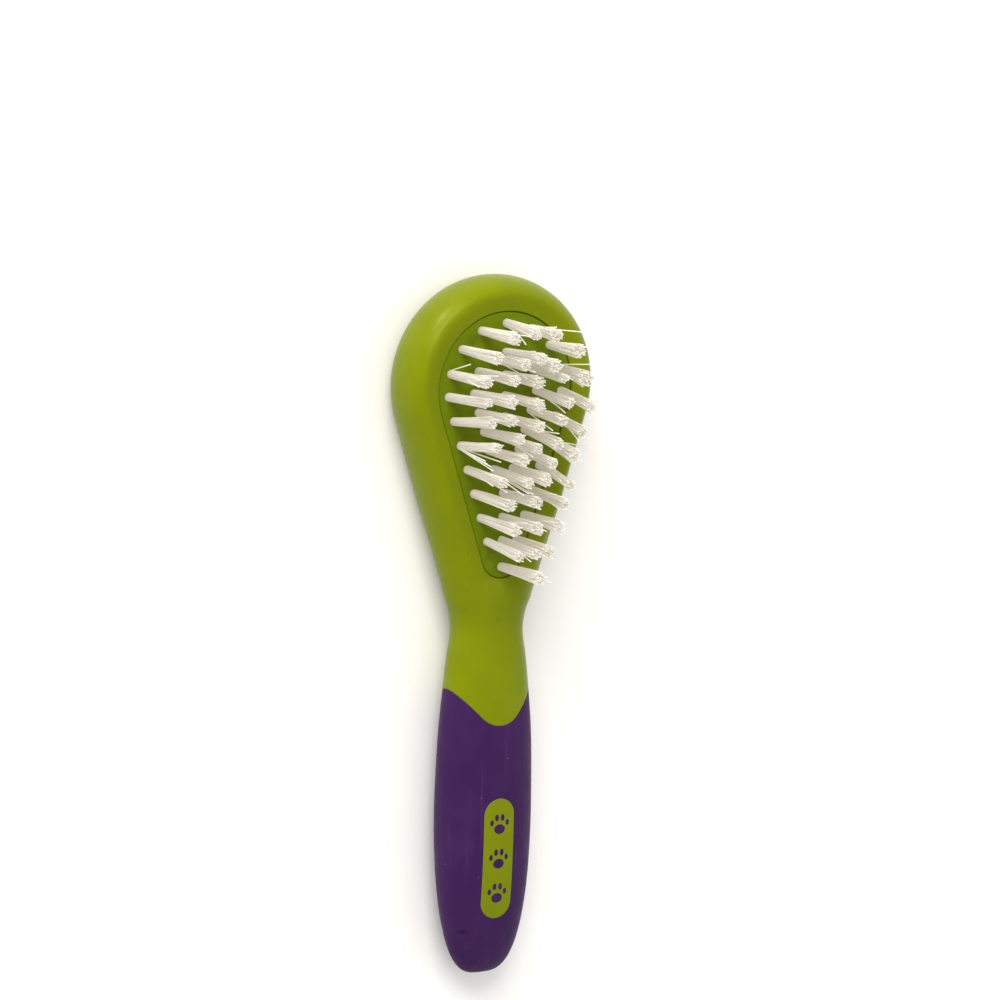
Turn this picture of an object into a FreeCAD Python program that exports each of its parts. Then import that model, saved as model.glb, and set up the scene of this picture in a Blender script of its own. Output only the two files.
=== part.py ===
"""Small pet bristle brush: a moulded head and handle, a soft grip, a bristle pad and its stapled tufts.

Row frame, millimetres: +Y runs along the brush from the butt to the head, +Z is the way the bristles point,
X is across. The brush lies on its back on Z = 0, and the origin is under the middle of its length.
"""

import FreeCAD
import Part

import math
import os

V = FreeCAD.Vector

# ---- driving dimensions ----------------------------------------------------------------------------------
LENGTH = 140.0            # butt to head tip
HEAD_RADIUS = 21.5        # round end of the head, in plan
HEAD_Y = LENGTH / 2 - HEAD_RADIUS
TAPER = math.radians(17.3)   # each side of the head leans in by this much towards the neck
TAPER_END_Y = 6.0         # the straight taper runs into the neck curve here
HEAD_TOP = 12.4           # front of the rim around the pad
HEAD_BOTTOM = -0.6        # lowest line of the head before the rest plane trims its back flat
HEAD_EDGE = 4.4           # how far in from the outline the head's rounded edge reaches

BELLY_Y = -36.0           # fullest place of the handle
BELLY_HALF_WIDTH = 10.4
BELLY_POWER = 2.2         # how late the sides start to close in towards the butt
BUTT_POWER = 3.2          # how square the butt is in plan
BELLY_TOP = 12.85
BELLY_BOTTOM = -0.5       # likewise, under the handle
BUTT_MID_Z = 6.3          # height of the butt's tip
BUTT_TOP_POWER = 2.8      # how late the top line turns down to the butt
BUTT_BOTTOM_POWER = 2.0   # how late the bottom line turns up to it
HANDLE_POWER = 2.4        # squareness of the handle's section, 2 is an ellipse
CAP = 0.01                # each end of the loft stops this short of a point

# neck and upper handle: Y, half width, top, bottom; the head and the belly continue from both ends
NECK_STATIONS = [
    (3.2, 8.2, 11.6, 0.8),
    (0.0, 7.7, 11.35, 0.9),
    (-2.4, 7.85, 11.35, 0.9),
    (-5.0, 8.35, 11.5, 0.8),
    (-11.0, 9.05, 12.0, 0.5),
    (-22.0, 10.0, 12.7, -0.1),
]

GRIP_THICKNESS = 1.6      # soft sleeve over the handle core
GRIP_EDGE_Y = -19.05      # lowest point of the sleeve's U-shaped edge
GRIP_EDGE_RADIUS = 5.6    # round bottom of the U
GRIP_EDGE_ANGLE = math.radians(46.5)      # its two straight sides climb at this angle
BADGE_Y = -45.8
BADGE_LENGTH = 24.4
BADGE_WIDTH = 6.9
INLAY_DEPTH = 0.6
PAW_PITCH = 7.0

PAD_RADIUS = 15.2         # round end of the pad opening
PAD_TIP_RADIUS = 4.6      # small end of the pad opening
PAD_Y = 48.1              # centre of the round end
PAD_TAPER = math.radians(18.6)
PAD_SPAN = (PAD_RADIUS - PAD_TIP_RADIUS) / math.sin(PAD_TAPER)
PAD_TIP_Y = PAD_Y - PAD_SPAN
PAD_TOP = 11.2
PAD_THICKNESS = 6.0
PAD_GAP = 0.12            # all round the pad
PAD_EDGE_RADIUS = 0.35
SEAM_TOP = 11.4           # the opening's edge stands a little over the pad
DISH_WIDTH = 3.4          # sloping band between the rim's crest and the pad
LEDGE = 1.8               # step that the pad rests on
BACK_WALL = 2.4
POST_RADIUS = 1.5
POST_LENGTH = 2.2
BOSS_RADIUS = 2.7
POST_CLEARANCE = 0.02
POSTS = [(-8.0, 52.0), (8.0, 52.0), (-5.4, 32.0), (5.4, 32.0), (0.0, 17.0)]
RIB_THICKNESS = 1.4
CROSS_RIBS_Y = (42.5, 24.0)
EJECTOR_RADIUS = 1.05
EJECTOR_DEPTH = 0.06
EJECTOR_MARKS = [(-6.1, 57.2), (6.1, 57.2), (-1.9, 14.6), (1.9, 14.6)]

HOLE_RADIUS = 0.9
HOLE_DEPTH = 4.8
TUFT_HEIGHT = 13.8        # bristles above the pad
TUFT_TIP_RADIUS = 1.35
STAPLE_WIDTH = 2.7
STAPLE_HEIGHT = 1.4
STAPLE_THICKNESS = 0.3
STAPLE_LIFT = 0.6         # staple's lower edge above the hole's bottom

OUTER_RING_INSET = 2.35   # outer ring of tufts, in from the pad opening
OUTER_ARC_ANGLES = (26.0, 51.0, 75.0)     # degrees either side of the tip, round the big end
OUTER_FIRST_ROW_Y = 46.9
OUTER_ROW_PITCH = 4.85
OUTER_ROWS = 7
OUTER_LAST_Y = 12.6
INNER_RING_INSET = 8.1
INNER_ARC_ANGLES = (30.0, 60.0)
INNER_FIRST_ROW_Y = 47.3
INNER_ROW_PITCH = 3.8
INNER_ROWS = 5
MIDDLE_COLUMN_Y = (50.7, 46.6, 42.4, 38.3, 27.3, 22.5, 17.9)

SECTION_POINTS = 72


# ---- the outer form --------------------------------------------------------------------------------------
def taper_half_width(y):
    """Half width of the head's straight tapering sides."""
    return (HEAD_RADIUS - (HEAD_Y - y) * math.sin(TAPER)) / math.cos(TAPER)


def belly_share(y):
    """0 at the fullest place of the handle, 1 at the butt's tip."""
    return (BELLY_Y - y) / (BELLY_Y + LENGTH / 2)


def butt_half_width(y):
    return BELLY_HALF_WIDTH * (1 - belly_share(y) ** BELLY_POWER) ** (1 / BUTT_POWER)


def butt_height(y, full, power):
    """Top or bottom line of the butt, which closes on its middle."""
    return BUTT_MID_Z + (full - BUTT_MID_Z) * math.sqrt(1 - belly_share(y) ** power)


def butt_top(y):
    return butt_height(y, BELLY_TOP, BUTT_TOP_POWER)


def butt_bottom(y):
    return butt_height(y, BELLY_BOTTOM, BUTT_BOTTOM_POWER)


def spline_value(points, y):
    """Smooth curve through (y, value) points given from high y to low y, by cubic Hermite spans."""
    count = len(points)
    slopes = []
    for i in range(count):
        a = points[max(i - 1, 0)]
        b = points[min(i + 1, count - 1)]
        slopes.append((b[1] - a[1]) / (b[0] - a[0]))
    for i in range(count - 1):
        (y0, v0), (y1, v1) = points[i], points[i + 1]
        if y1 <= y <= y0:
            span = y1 - y0
            t = (y - y0) / span
            return (
                v0 * (1 + 2 * t) * (1 - t) ** 2
                + slopes[i] * span * t * (1 - t) ** 2
                + v1 * t * t * (3 - 2 * t)
                + slopes[i + 1] * span * t * t * (t - 1)
            )
    raise ValueError(f"y {y} is outside the curve")


def station_curve(column, above, below):
    """The neck's stations for one column, with two points of the head above and of the belly below."""
    middle = [(s[0], s[column]) for s in NECK_STATIONS]
    return above + middle + below


WIDTH_CURVE = station_curve(
    1,
    [(y, taper_half_width(y)) for y in (TAPER_END_Y + 6, TAPER_END_Y)],
    [(BELLY_Y, BELLY_HALF_WIDTH), (BELLY_Y - 6, butt_half_width(BELLY_Y - 6))],
)
TOP_CURVE = station_curve(
    2,
    [(26.0, HEAD_TOP), (18.0, HEAD_TOP), (10.0, HEAD_TOP - 0.15)],
    [(BELLY_Y, BELLY_TOP), (BELLY_Y - 6, butt_top(BELLY_Y - 6))],
)
BOTTOM_CURVE = station_curve(
    3,
    [(38.0, HEAD_BOTTOM), (30.0, -0.4), (22.0, -0.05), (11.0, 0.45)],
    [(BELLY_Y, BELLY_BOTTOM), (BELLY_Y - 6, butt_bottom(BELLY_Y - 6))],
)


def half_width(y):
    if y >= HEAD_Y - HEAD_RADIUS * math.sin(TAPER):
        return math.sqrt(HEAD_RADIUS**2 - (y - HEAD_Y) ** 2)
    if y >= TAPER_END_Y:
        return taper_half_width(y)
    if y >= BELLY_Y:
        return spline_value(WIDTH_CURVE, y)
    return butt_half_width(y)


def top_height(y):
    if y >= 18.0:
        return HEAD_TOP
    if y >= BELLY_Y:
        return spline_value(TOP_CURVE, y)
    return butt_top(y)


def bottom_height(y):
    if y >= 38.0:
        return HEAD_BOTTOM
    if y >= BELLY_Y:
        return spline_value(BOTTOM_CURVE, y)
    return butt_bottom(y)


def blend(y):
    """0 on the head, 1 from the neck down, smoothly between."""
    t = min(1.0, max(0.0, (26.0 - y) / 26.0))
    return t * t * (3 - 2 * t)


def inside_distance(x, y):
    """How far a point of the plan lies inside the outline. x is not negative."""
    down = HEAD_Y - y
    if down <= x * math.tan(TAPER):
        return HEAD_RADIUS - math.hypot(x, down)
    if y >= TAPER_END_Y:
        return HEAD_RADIUS - x * math.cos(TAPER) - down * math.sin(TAPER)
    return half_width(y) - x


def section(y, inset, at_y):
    """Closed cross-section of the body at y, drawn smaller by inset, and placed at at_y."""
    width = half_width(y)
    top, bottom = top_height(y), bottom_height(y)
    middle = (top + bottom) / 2
    half_height = (top - bottom) / 2
    share = blend(y)
    edge = HEAD_EDGE + (width - HEAD_EDGE) * share
    power = 2 + (HANDLE_POWER - 2) * share
    shrink_x = (width - inset) / width
    shrink_z = (half_height - inset) / half_height
    points = []
    for i in range(SECTION_POINTS):
        angle = 2 * math.pi * i / SECTION_POINTS
        x = width * math.cos(angle)
        depth = min(1.0, max(0.0, inside_distance(abs(x), y)) / edge)
        rise = half_height * math.sqrt(1 - (1 - depth) ** power)
        z = middle + math.copysign(rise, math.sin(angle)) * shrink_z
        points.append(V(x * shrink_x, at_y, z))
    curve = Part.BSplineCurve()
    steps = [float(i) for i in range(SECTION_POINTS + 1)]
    curve.interpolate(Points=points, PeriodicFlag=True, Parameters=steps)
    half = SECTION_POINTS / 2
    return Part.Wire([curve.toShape(0, half), curve.toShape(half, SECTION_POINTS)])


def loft_stations(with_head):
    """Y of the loft's sections, close together where the ends turn in."""
    stations = []
    if with_head:
        first = math.acos(1 - CAP / HEAD_RADIUS)
        last = math.pi / 2 + TAPER
        for i in range(17):
            stations.append(HEAD_Y + HEAD_RADIUS * math.cos(first + (last - first) * (i / 16) ** 1.2))
        stations += [36.0, 31.0, 26.0, 21.0, 16.5, 12.5, 9.0, TAPER_END_Y, 3.2]
    stations += [0.0, -2.4, -5.0, -8.0, -11.0, -14.5, -18.0, -22.0, -26.5, -31.0, BELLY_Y]
    reach = BELLY_Y + LENGTH / 2
    last = math.asin(1 - CAP / reach)
    for i in range(1, 14):
        stations.append(BELLY_Y - reach * math.sin(last * (i / 13) ** 0.9))
    return stations


def body_envelope():
    """The whole outside of head, neck and grip, trimmed flat where it rests."""
    solid = Part.makeLoft([section(y, 0.0, y) for y in loft_stations(True)], True, False)
    below = Part.makeBox(80, 2 * LENGTH, 5, V(-40, -LENGTH, -5))
    return solid.cut(below)


def inset_handle(inset):
    """The handle below the neck, smaller all round by inset."""
    reach = BELLY_Y + LENGTH / 2
    wires = []
    for y in loft_stations(False):
        if y >= BELLY_Y:
            wires.append(section(y, inset, y))
            continue
        half_height = (top_height(y) - bottom_height(y)) / 2
        room = min(inset, 0.55 * half_width(y), 0.55 * half_height)
        wires.append(section(y, room, BELLY_Y - (BELLY_Y - y) * (reach - inset) / reach))
    return Part.makeLoft(wires, True, False)


# ---- shapes swept round the pad's teardrop outline -------------------------------------------------------
def teardrop(offset, z):
    """Closed wire of the pad opening's outline, moved outwards by offset."""
    big, small = PAD_RADIUS + offset, PAD_TIP_RADIUS + offset
    c, s = math.cos(PAD_TAPER), math.sin(PAD_TAPER)
    right_top, right_low = V(big * c, PAD_Y - big * s, z), V(small * c, PAD_TIP_Y - small * s, z)
    left_top, left_low = V(-big * c, PAD_Y - big * s, z), V(-small * c, PAD_TIP_Y - small * s, z)
    tip, foot = V(0, PAD_Y + big, z), V(0, PAD_TIP_Y - small, z)
    return Part.Wire([
        Part.Arc(left_top, tip, right_top).toShape(),
        Part.LineSegment(right_top, right_low).toShape(),
        Part.Arc(right_low, foot, left_low).toShape(),
        Part.LineSegment(left_low, left_top).toShape(),
    ])


def teardrop_prism(offset, z_low, z_high):
    return Part.Face(teardrop(offset, z_low)).extrude(V(0, 0, z_high - z_low))


def dish_cutter():
    """Everything above the sloping band round the pad."""
    rise = HEAD_TOP - SEAM_TOP
    high = 3.0
    wide = DISH_WIDTH * (high / rise)
    return Part.makeLoft([teardrop(0, SEAM_TOP), teardrop(wide, SEAM_TOP + high)], True, True)


# ---- tufts -----------------------------------------------------------------------------------------------
def ring_point(inset, y):
    """Right-hand point of a ring of tufts on the head's straight side."""
    return (PAD_RADIUS - inset - (PAD_Y - y) * math.sin(PAD_TAPER)) / math.cos(PAD_TAPER), y


def arc_point(inset, degrees):
    angle = math.radians(degrees)
    radius = PAD_RADIUS - inset
    return radius * math.sin(angle), PAD_Y + radius * math.cos(angle)


def both_sides(points):
    return [(side * x, y) for x, y in points for side in (-1, 1)]


def tuft_places():
    """Names and places of the tufts: an outer ring, an inner ring and a middle column."""
    outer = [arc_point(OUTER_RING_INSET, a) for a in OUTER_ARC_ANGLES]
    outer.append((PAD_RADIUS - OUTER_RING_INSET, OUTER_FIRST_ROW_Y))
    for i in range(1, OUTER_ROWS):
        outer.append(ring_point(OUTER_RING_INSET, OUTER_FIRST_ROW_Y - i * OUTER_ROW_PITCH))
    inner = [arc_point(INNER_RING_INSET, a) for a in INNER_ARC_ANGLES]
    inner.append((PAD_RADIUS - INNER_RING_INSET, INNER_FIRST_ROW_Y))
    for i in range(1, INNER_ROWS):
        inner.append(ring_point(INNER_RING_INSET, INNER_FIRST_ROW_Y - i * INNER_ROW_PITCH))
    rings = {
        "outer": [arc_point(OUTER_RING_INSET, 0), *both_sides(outer), (0.0, OUTER_LAST_Y)],
        "inner": [arc_point(INNER_RING_INSET, 0), *both_sides(inner)],
        "middle": [(0.0, y) for y in MIDDLE_COLUMN_Y],
    }
    return {f"tuft_{ring}_{i:02d}": p for ring, ps in rings.items() for i, p in enumerate(ps, 1)}


HOLE_FLOOR = PAD_TOP - HOLE_DEPTH
STAPLE_Z = HOLE_FLOOR + STAPLE_LIFT


def staple(x, y):
    corner = V(x - STAPLE_WIDTH / 2, y - STAPLE_THICKNESS / 2, STAPLE_Z)
    return Part.makeBox(STAPLE_WIDTH, STAPLE_THICKNESS, STAPLE_HEIGHT, corner)


def tuft(x, y):
    """One folded bundle: a plug that fills its hole round the staple, flaring above the pad."""
    plug = Part.makeCylinder(HOLE_RADIUS, HOLE_DEPTH, V(x, y, HOLE_FLOOR))
    flare = Part.makeCone(HOLE_RADIUS, TUFT_TIP_RADIUS, TUFT_HEIGHT, V(x, y, PAD_TOP))
    return plug.fuse(flare).removeSplitter().cut(staple(x, y))


# ---- the pieces ------------------------------------------------------------------------------------------
def bristle_pad(places):
    pad = teardrop_prism(-PAD_GAP, PAD_TOP - PAD_THICKNESS, PAD_TOP)
    rim = [e for e in pad.Edges if abs(e.BoundBox.ZMin - PAD_TOP) < 1e-6 and e.BoundBox.ZLength < 1e-6]
    pad = pad.makeFillet(PAD_EDGE_RADIUS, rim)
    for x, y in POSTS:
        post = Part.makeCylinder(POST_RADIUS, POST_LENGTH, V(x, y, PAD_TOP - PAD_THICKNESS - POST_LENGTH))
        pad = pad.fuse(post)
    holes = []
    for x, y in places.values():
        holes.append(Part.makeCylinder(HOLE_RADIUS, HOLE_DEPTH + 1, V(x, y, HOLE_FLOOR)))
        corner = V(x - STAPLE_WIDTH / 2, y - STAPLE_THICKNESS / 2, STAPLE_Z)
        holes.append(Part.makeBox(STAPLE_WIDTH, STAPLE_THICKNESS, PAD_TOP - STAPLE_Z + 1, corner))
    for x, y in EJECTOR_MARKS:
        holes.append(Part.makeCylinder(EJECTOR_RADIUS, 1, V(x, y, PAD_TOP - EJECTOR_DEPTH)))
    return pad.cut(holes).removeSplitter()


def head_pocket():
    """What is taken out of the head: the pad's seat and the hollow behind it, less bosses and ribs."""
    seat_z = PAD_TOP - PAD_THICKNESS
    seat = teardrop_prism(0, seat_z, HEAD_TOP + 2)
    hollow = teardrop_prism(-LEDGE, BACK_WALL, seat_z)
    keep = []
    for x, y in POSTS:
        keep.append(Part.makeCylinder(BOSS_RADIUS, seat_z - BACK_WALL, V(x, y, BACK_WALL)))
    rib_height = seat_z - BACK_WALL - 0.1
    for y in CROSS_RIBS_Y:
        corner = V(-HEAD_RADIUS, y - RIB_THICKNESS / 2, BACK_WALL)
        keep.append(Part.makeBox(2 * HEAD_RADIUS, RIB_THICKNESS, rib_height, corner))
    length = PAD_Y + PAD_RADIUS - POSTS[-1][1]
    corner = V(-RIB_THICKNESS / 2, POSTS[-1][1], BACK_WALL)
    keep.append(Part.makeBox(RIB_THICKNESS, length, rib_height, corner))
    hollow = hollow.cut(keep)
    sockets = []
    for x, y in POSTS:
        radius = POST_RADIUS + POST_CLEARANCE
        sockets.append(Part.makeCylinder(radius, POST_LENGTH + 0.1, V(x, y, seat_z - POST_LENGTH - 0.1)))
    return [seat, hollow, *sockets]


def grip_zone():
    """Tall prism over everything on the butt side of the grip's edge: a round bottom between two straight sides."""
    reach = 16.0
    c, t = math.cos(GRIP_EDGE_ANGLE), math.tan(GRIP_EDGE_ANGLE)
    turn_x = GRIP_EDGE_RADIUS * math.sin(GRIP_EDGE_ANGLE)
    turn_y = GRIP_EDGE_Y + GRIP_EDGE_RADIUS * (1 - c)
    end_y = turn_y + t * (reach - turn_x)
    low = -LENGTH / 2 - 5
    z = -5
    lowest = V(0, GRIP_EDGE_Y, z)
    left_turn, right_turn = V(-turn_x, turn_y, z), V(turn_x, turn_y, z)
    left_end, right_end = V(-reach, end_y, z), V(reach, end_y, z)
    left_low, right_low = V(-reach, low, z), V(reach, low, z)
    wire = Part.Wire([
        Part.LineSegment(left_end, left_turn).toShape(),
        Part.Arc(left_turn, lowest, right_turn).toShape(),
        Part.LineSegment(right_turn, right_end).toShape(),
        Part.LineSegment(right_end, right_low).toShape(),
        Part.LineSegment(right_low, left_low).toShape(),
        Part.LineSegment(left_low, left_end).toShape(),
    ])
    return Part.Face(wire).extrude(V(0, 0, 30))


def badge_prism():
    """Stadium-shaped column through the front of the handle."""
    radius = BADGE_WIDTH / 2
    half = BADGE_LENGTH / 2 - radius
    low, high = BADGE_Y - half, BADGE_Y + half
    z = BUTT_MID_Z
    wire = Part.Wire([
        Part.LineSegment(V(radius, low, z), V(radius, high, z)).toShape(),
        Part.Arc(V(radius, high, z), V(0, high + radius, z), V(-radius, high, z)).toShape(),
        Part.LineSegment(V(-radius, high, z), V(-radius, low, z)).toShape(),
        Part.Arc(V(-radius, low, z), V(0, low - radius, z), V(radius, low, z)).toShape(),
    ])
    return Part.Face(wire).extrude(V(0, 0, 12))


def ellipse_prism(x, y, radius_x, radius_y):
    flip = radius_y > radius_x
    big, small = max(radius_x, radius_y), min(radius_x, radius_y)
    ellipse = Part.Ellipse(V(0, 0, 0), big, small)
    face = Part.Face(Part.Wire([ellipse.toShape()]))
    if flip:
        face.rotate(V(0, 0, 0), V(0, 0, 1), 90)
    face.translate(V(x, y, BUTT_MID_Z))
    return face.extrude(V(0, 0, 12))


def paw_prisms():
    """Three plain paw prints in a row: a ball and four toes each."""
    toes = [(-1.75, 0.35, 0.42, 0.62), (-0.65, 1.35, 0.45, 0.7), (0.65, 1.35, 0.45, 0.7), (1.75, 0.35, 0.42, 0.62)]
    prisms = []
    for k in (-1, 0, 1):
        y = BADGE_Y + k * PAW_PITCH
        prisms.append(ellipse_prism(0, y - 0.95, 1.25, 1.0))
        prisms += [ellipse_prism(x, y + dy, rx, ry) for x, dy, rx, ry in toes]
    return prisms


def export(name, shape):
    shape.exportStep(os.path.join("parts", name + ".step"))
    print(f"{name}: {len(shape.Solids)} solids, {shape.Volume:.1f} mm3, valid {shape.isValid()}")


def main():
    os.makedirs("parts", exist_ok=True)
    places = tuft_places()

    envelope = body_envelope()
    zone = grip_zone()
    handle_core = inset_handle(GRIP_THICKNESS)
    island = badge_prism()
    paws = paw_prisms()
    skin_floor = inset_handle(INLAY_DEPTH)

    inlay = [p.common(envelope).cut(skin_floor) for p in paws]
    badge = island.common(envelope)
    core = envelope.cut(zone).fuse([handle_core.common(zone), badge])
    core = core.cut([dish_cutter(), *head_pocket()]).cut(inlay).removeSplitter()
    sleeve = envelope.common(zone).cut([handle_core, island])

    export("handle_body", core)
    export("grip_sleeve", sleeve)
    export("badge_inlay", Part.makeCompound([s for p in inlay for s in p.Solids]))
    export("bristle_pad", bristle_pad(places))
    export("tuft_staples", Part.makeCompound([staple(x, y) for x, y in places.values()]))
    for name, (x, y) in places.items():
        export(name, tuft(x, y))


main()
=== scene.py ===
"""Looks of a small pet bristle brush: moulded green body, purple grip, bristle pad and nylon tufts.

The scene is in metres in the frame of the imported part: +X across, +Y to the head's end, +Z up from the
plane that the brush rests on. The outer form follows the same driving sizes as the part's own source.
They are in millimetres here and are scaled once. The places of pad and tufts come from the frame's boxes.
"""

import math
import random

import bmesh
import bpy
from mathutils import Matrix, Vector
from mathutils.geometry import delaunay_2d_cdt


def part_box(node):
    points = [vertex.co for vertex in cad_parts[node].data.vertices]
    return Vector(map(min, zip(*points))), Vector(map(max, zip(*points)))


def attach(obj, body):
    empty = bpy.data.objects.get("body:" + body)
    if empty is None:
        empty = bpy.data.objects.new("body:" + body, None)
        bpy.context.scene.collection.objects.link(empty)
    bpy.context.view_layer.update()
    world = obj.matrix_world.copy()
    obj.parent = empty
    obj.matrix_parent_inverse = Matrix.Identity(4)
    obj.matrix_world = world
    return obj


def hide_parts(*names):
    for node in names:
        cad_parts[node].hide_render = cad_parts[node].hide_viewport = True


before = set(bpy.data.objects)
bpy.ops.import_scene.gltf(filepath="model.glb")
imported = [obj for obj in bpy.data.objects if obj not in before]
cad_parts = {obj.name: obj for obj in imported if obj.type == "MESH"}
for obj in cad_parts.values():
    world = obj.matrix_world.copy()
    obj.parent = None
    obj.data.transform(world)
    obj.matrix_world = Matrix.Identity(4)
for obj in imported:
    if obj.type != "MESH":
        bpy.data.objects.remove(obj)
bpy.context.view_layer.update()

MM = 0.001


def box_mm(node):
    low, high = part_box(node)
    return low / MM, high / MM


# ---- driving sizes, mm ---------------------------------------------------------------------------
TIP_Y = 70.0              # the head's end, and the butt's is as far the other way
BUTT_Y = -TIP_Y
HEAD_RADIUS = 21.5
HEAD_Y = TIP_Y - HEAD_RADIUS
TAPER = math.radians(17.3)        # each side of the head leans in by this much towards the neck
TAPER_END_Y = 6.0
HEAD_TOP = 12.4
HEAD_TOP_END_Y = 18.0     # the front stays level down to here
HEAD_BOTTOM = -0.6        # before the back is flattened where it rests
HEAD_BOTTOM_END_Y = 38.0  # and the back down to here
HEAD_EDGE = 4.4           # how far in from the outline the head's rounded edge reaches
HANDLE_BLEND_Y = 26.0     # from here down to 0 the head's section turns into the handle's
BELLY_Y = -36.0           # fullest place of the handle
BELLY_HALF_WIDTH = 10.4
BELLY_POWER = 2.2         # how late the sides close in towards the butt
BUTT_POWER = 3.2          # how square the butt is in plan
BELLY_TOP = 12.85
BELLY_BOTTOM = -0.5
BUTT_MID_Z = 6.3          # height of the butt's tip
BUTT_TOP_POWER = 2.8
BUTT_BOTTOM_POWER = 2.0
HANDLE_POWER = 2.4        # squareness of the handle's section, 2 is an ellipse
REST_SOFTENING = 0.25     # round turn of the back into the plane that it rests on
# neck and upper handle: y, half width, top, bottom
NECK_STATIONS = [
    (3.2, 8.2, 11.6, 0.8),
    (0.0, 7.7, 11.35, 0.9),
    (-2.4, 7.85, 11.35, 0.9),
    (-5.0, 8.35, 11.5, 0.8),
    (-11.0, 9.05, 12.0, 0.5),
    (-22.0, 10.0, 12.7, -0.1),
]
GRIP_EDGE_Y = -19.05      # lowest point of the grip's U-shaped edge
GRIP_EDGE_RADIUS = 5.6    # round bottom of the U
GRIP_EDGE_ANGLE = math.radians(46.5)      # its two straight sides climb at this angle
BADGE_Y = -45.8
BADGE_LENGTH = 24.4
BADGE_WIDTH = 6.9
PAW_PITCH = 7.0

PAD_GAP = 0.12            # all round the pad
PAD_HIGH = box_mm("bristle_pad")[1]
PAD_RADIUS = PAD_HIGH.x + PAD_GAP         # round end of the pad's opening
PAD_TIP_RADIUS = 4.6      # and its small end
PAD_Y = PAD_HIGH.y + PAD_GAP - PAD_RADIUS
PAD_TAPER = math.radians(18.6)    # and its straight sides lean in by this much
PAD_SPAN = (PAD_RADIUS - PAD_TIP_RADIUS) / math.sin(PAD_TAPER)
PAD_TIP_Y = PAD_Y - PAD_SPAN
PAD_TOP = PAD_HIGH.z
SEAM_TOP = 11.4           # the opening's edge stands a little over the pad
DISH_WIDTH = 3.4          # sloping band between the rim's crest and the pad
CREST_BLEND = 1.1         # height over which the crest between band and rim is rounded
LIP = 0.16                # rounded edge of the opening
LIP_BEAD = 0.05           # height of the faint bead along it
LIP_BEAD_AT = 1.6 * LIP   # and its distance from the opening
NECK_CUT_Y = -2.0         # the head's rings end here, and the handle's begin

HOLE_RADIUS = 0.9
HOLE_SIDES = 24
# faint round marks on the pad, at x, y
EJECTOR_MARKS = [(-6.1, 57.2), (6.1, 57.2), (-1.9, 14.6), (1.9, 14.6)]
EJECTOR_RADIUS = 1.05
EJECTOR_SIDES = 28


# ---- the outer form ------------------------------------------------------------------------------
def taper_half_width(y):
    """Half width of the head's straight tapering sides."""
    return (HEAD_RADIUS - (HEAD_Y - y) * math.sin(TAPER)) / math.cos(TAPER)


def belly_share(y):
    """0 at the fullest place of the handle, 1 at the butt's tip."""
    return min(1.0, (BELLY_Y - y) / (BELLY_Y - BUTT_Y))


def butt_half_width(y):
    return BELLY_HALF_WIDTH * max(0.0, 1 - belly_share(y) ** BELLY_POWER) ** (1 / BUTT_POWER)


def butt_height(y, full, power):
    """Top or bottom line of the butt, which closes on its middle."""
    return BUTT_MID_Z + (full - BUTT_MID_Z) * math.sqrt(max(0.0, 1 - belly_share(y) ** power))


def spline_value(points, y):
    """Smooth curve through (y, value) points given from high y to low y, by cubic Hermite spans."""
    count = len(points)
    slopes = []
    for i in range(count):
        a = points[max(i - 1, 0)]
        b = points[min(i + 1, count - 1)]
        slopes.append((b[1] - a[1]) / (b[0] - a[0]))
    for i in range(count - 1):
        (y0, v0), (y1, v1) = points[i], points[i + 1]
        if y1 <= y <= y0:
            span = y1 - y0
            t = (y - y0) / span
            return (
                v0 * (1 + 2 * t) * (1 - t) ** 2
                + slopes[i] * span * t * (1 - t) ** 2
                + v1 * t * t * (3 - 2 * t)
                + slopes[i + 1] * span * t * t * (t - 1)
            )
    raise ValueError(f"y {y} is outside the curve")


def station_curve(column, above, below):
    """The neck's stations for one column, with points of the head above and of the belly below."""
    return above + [(s[0], s[column]) for s in NECK_STATIONS] + below


PAST_BELLY_Y = BELLY_Y - 6.0      # the curves' end point, past the part that they are used for
WIDTH_CURVE = station_curve(
    1,
    [(y, taper_half_width(y)) for y in (TAPER_END_Y + 6.0, TAPER_END_Y)],
    [(BELLY_Y, BELLY_HALF_WIDTH), (PAST_BELLY_Y, butt_half_width(PAST_BELLY_Y))],
)
TOP_CURVE = station_curve(
    2,
    [(26.0, HEAD_TOP), (HEAD_TOP_END_Y, HEAD_TOP), (10.0, HEAD_TOP - 0.15)],
    [(BELLY_Y, BELLY_TOP), (PAST_BELLY_Y, butt_height(PAST_BELLY_Y, BELLY_TOP, BUTT_TOP_POWER))],
)
BOTTOM_CURVE = station_curve(
    3,
    [(HEAD_BOTTOM_END_Y, HEAD_BOTTOM), (30.0, -0.4), (22.0, -0.05), (11.0, 0.45)],
    [(BELLY_Y, BELLY_BOTTOM), (PAST_BELLY_Y, butt_height(PAST_BELLY_Y, BELLY_BOTTOM, BUTT_BOTTOM_POWER))],
)


def half_width(y):
    if y >= HEAD_Y - HEAD_RADIUS * math.sin(TAPER):
        return math.sqrt(max(0.0, HEAD_RADIUS**2 - (y - HEAD_Y) ** 2))
    if y >= TAPER_END_Y:
        return taper_half_width(y)
    if y >= BELLY_Y:
        return spline_value(WIDTH_CURVE, y)
    return butt_half_width(y)


def top_height(y):
    if y >= HEAD_TOP_END_Y:
        return HEAD_TOP
    if y >= BELLY_Y:
        return spline_value(TOP_CURVE, y)
    return butt_height(y, BELLY_TOP, BUTT_TOP_POWER)


def bottom_height(y):
    if y >= HEAD_BOTTOM_END_Y:
        return HEAD_BOTTOM
    if y >= BELLY_Y:
        return spline_value(BOTTOM_CURVE, y)
    return butt_height(y, BELLY_BOTTOM, BUTT_BOTTOM_POWER)


def smooth_step(t):
    t = min(1.0, max(0.0, t))
    return t * t * (3 - 2 * t)


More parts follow.
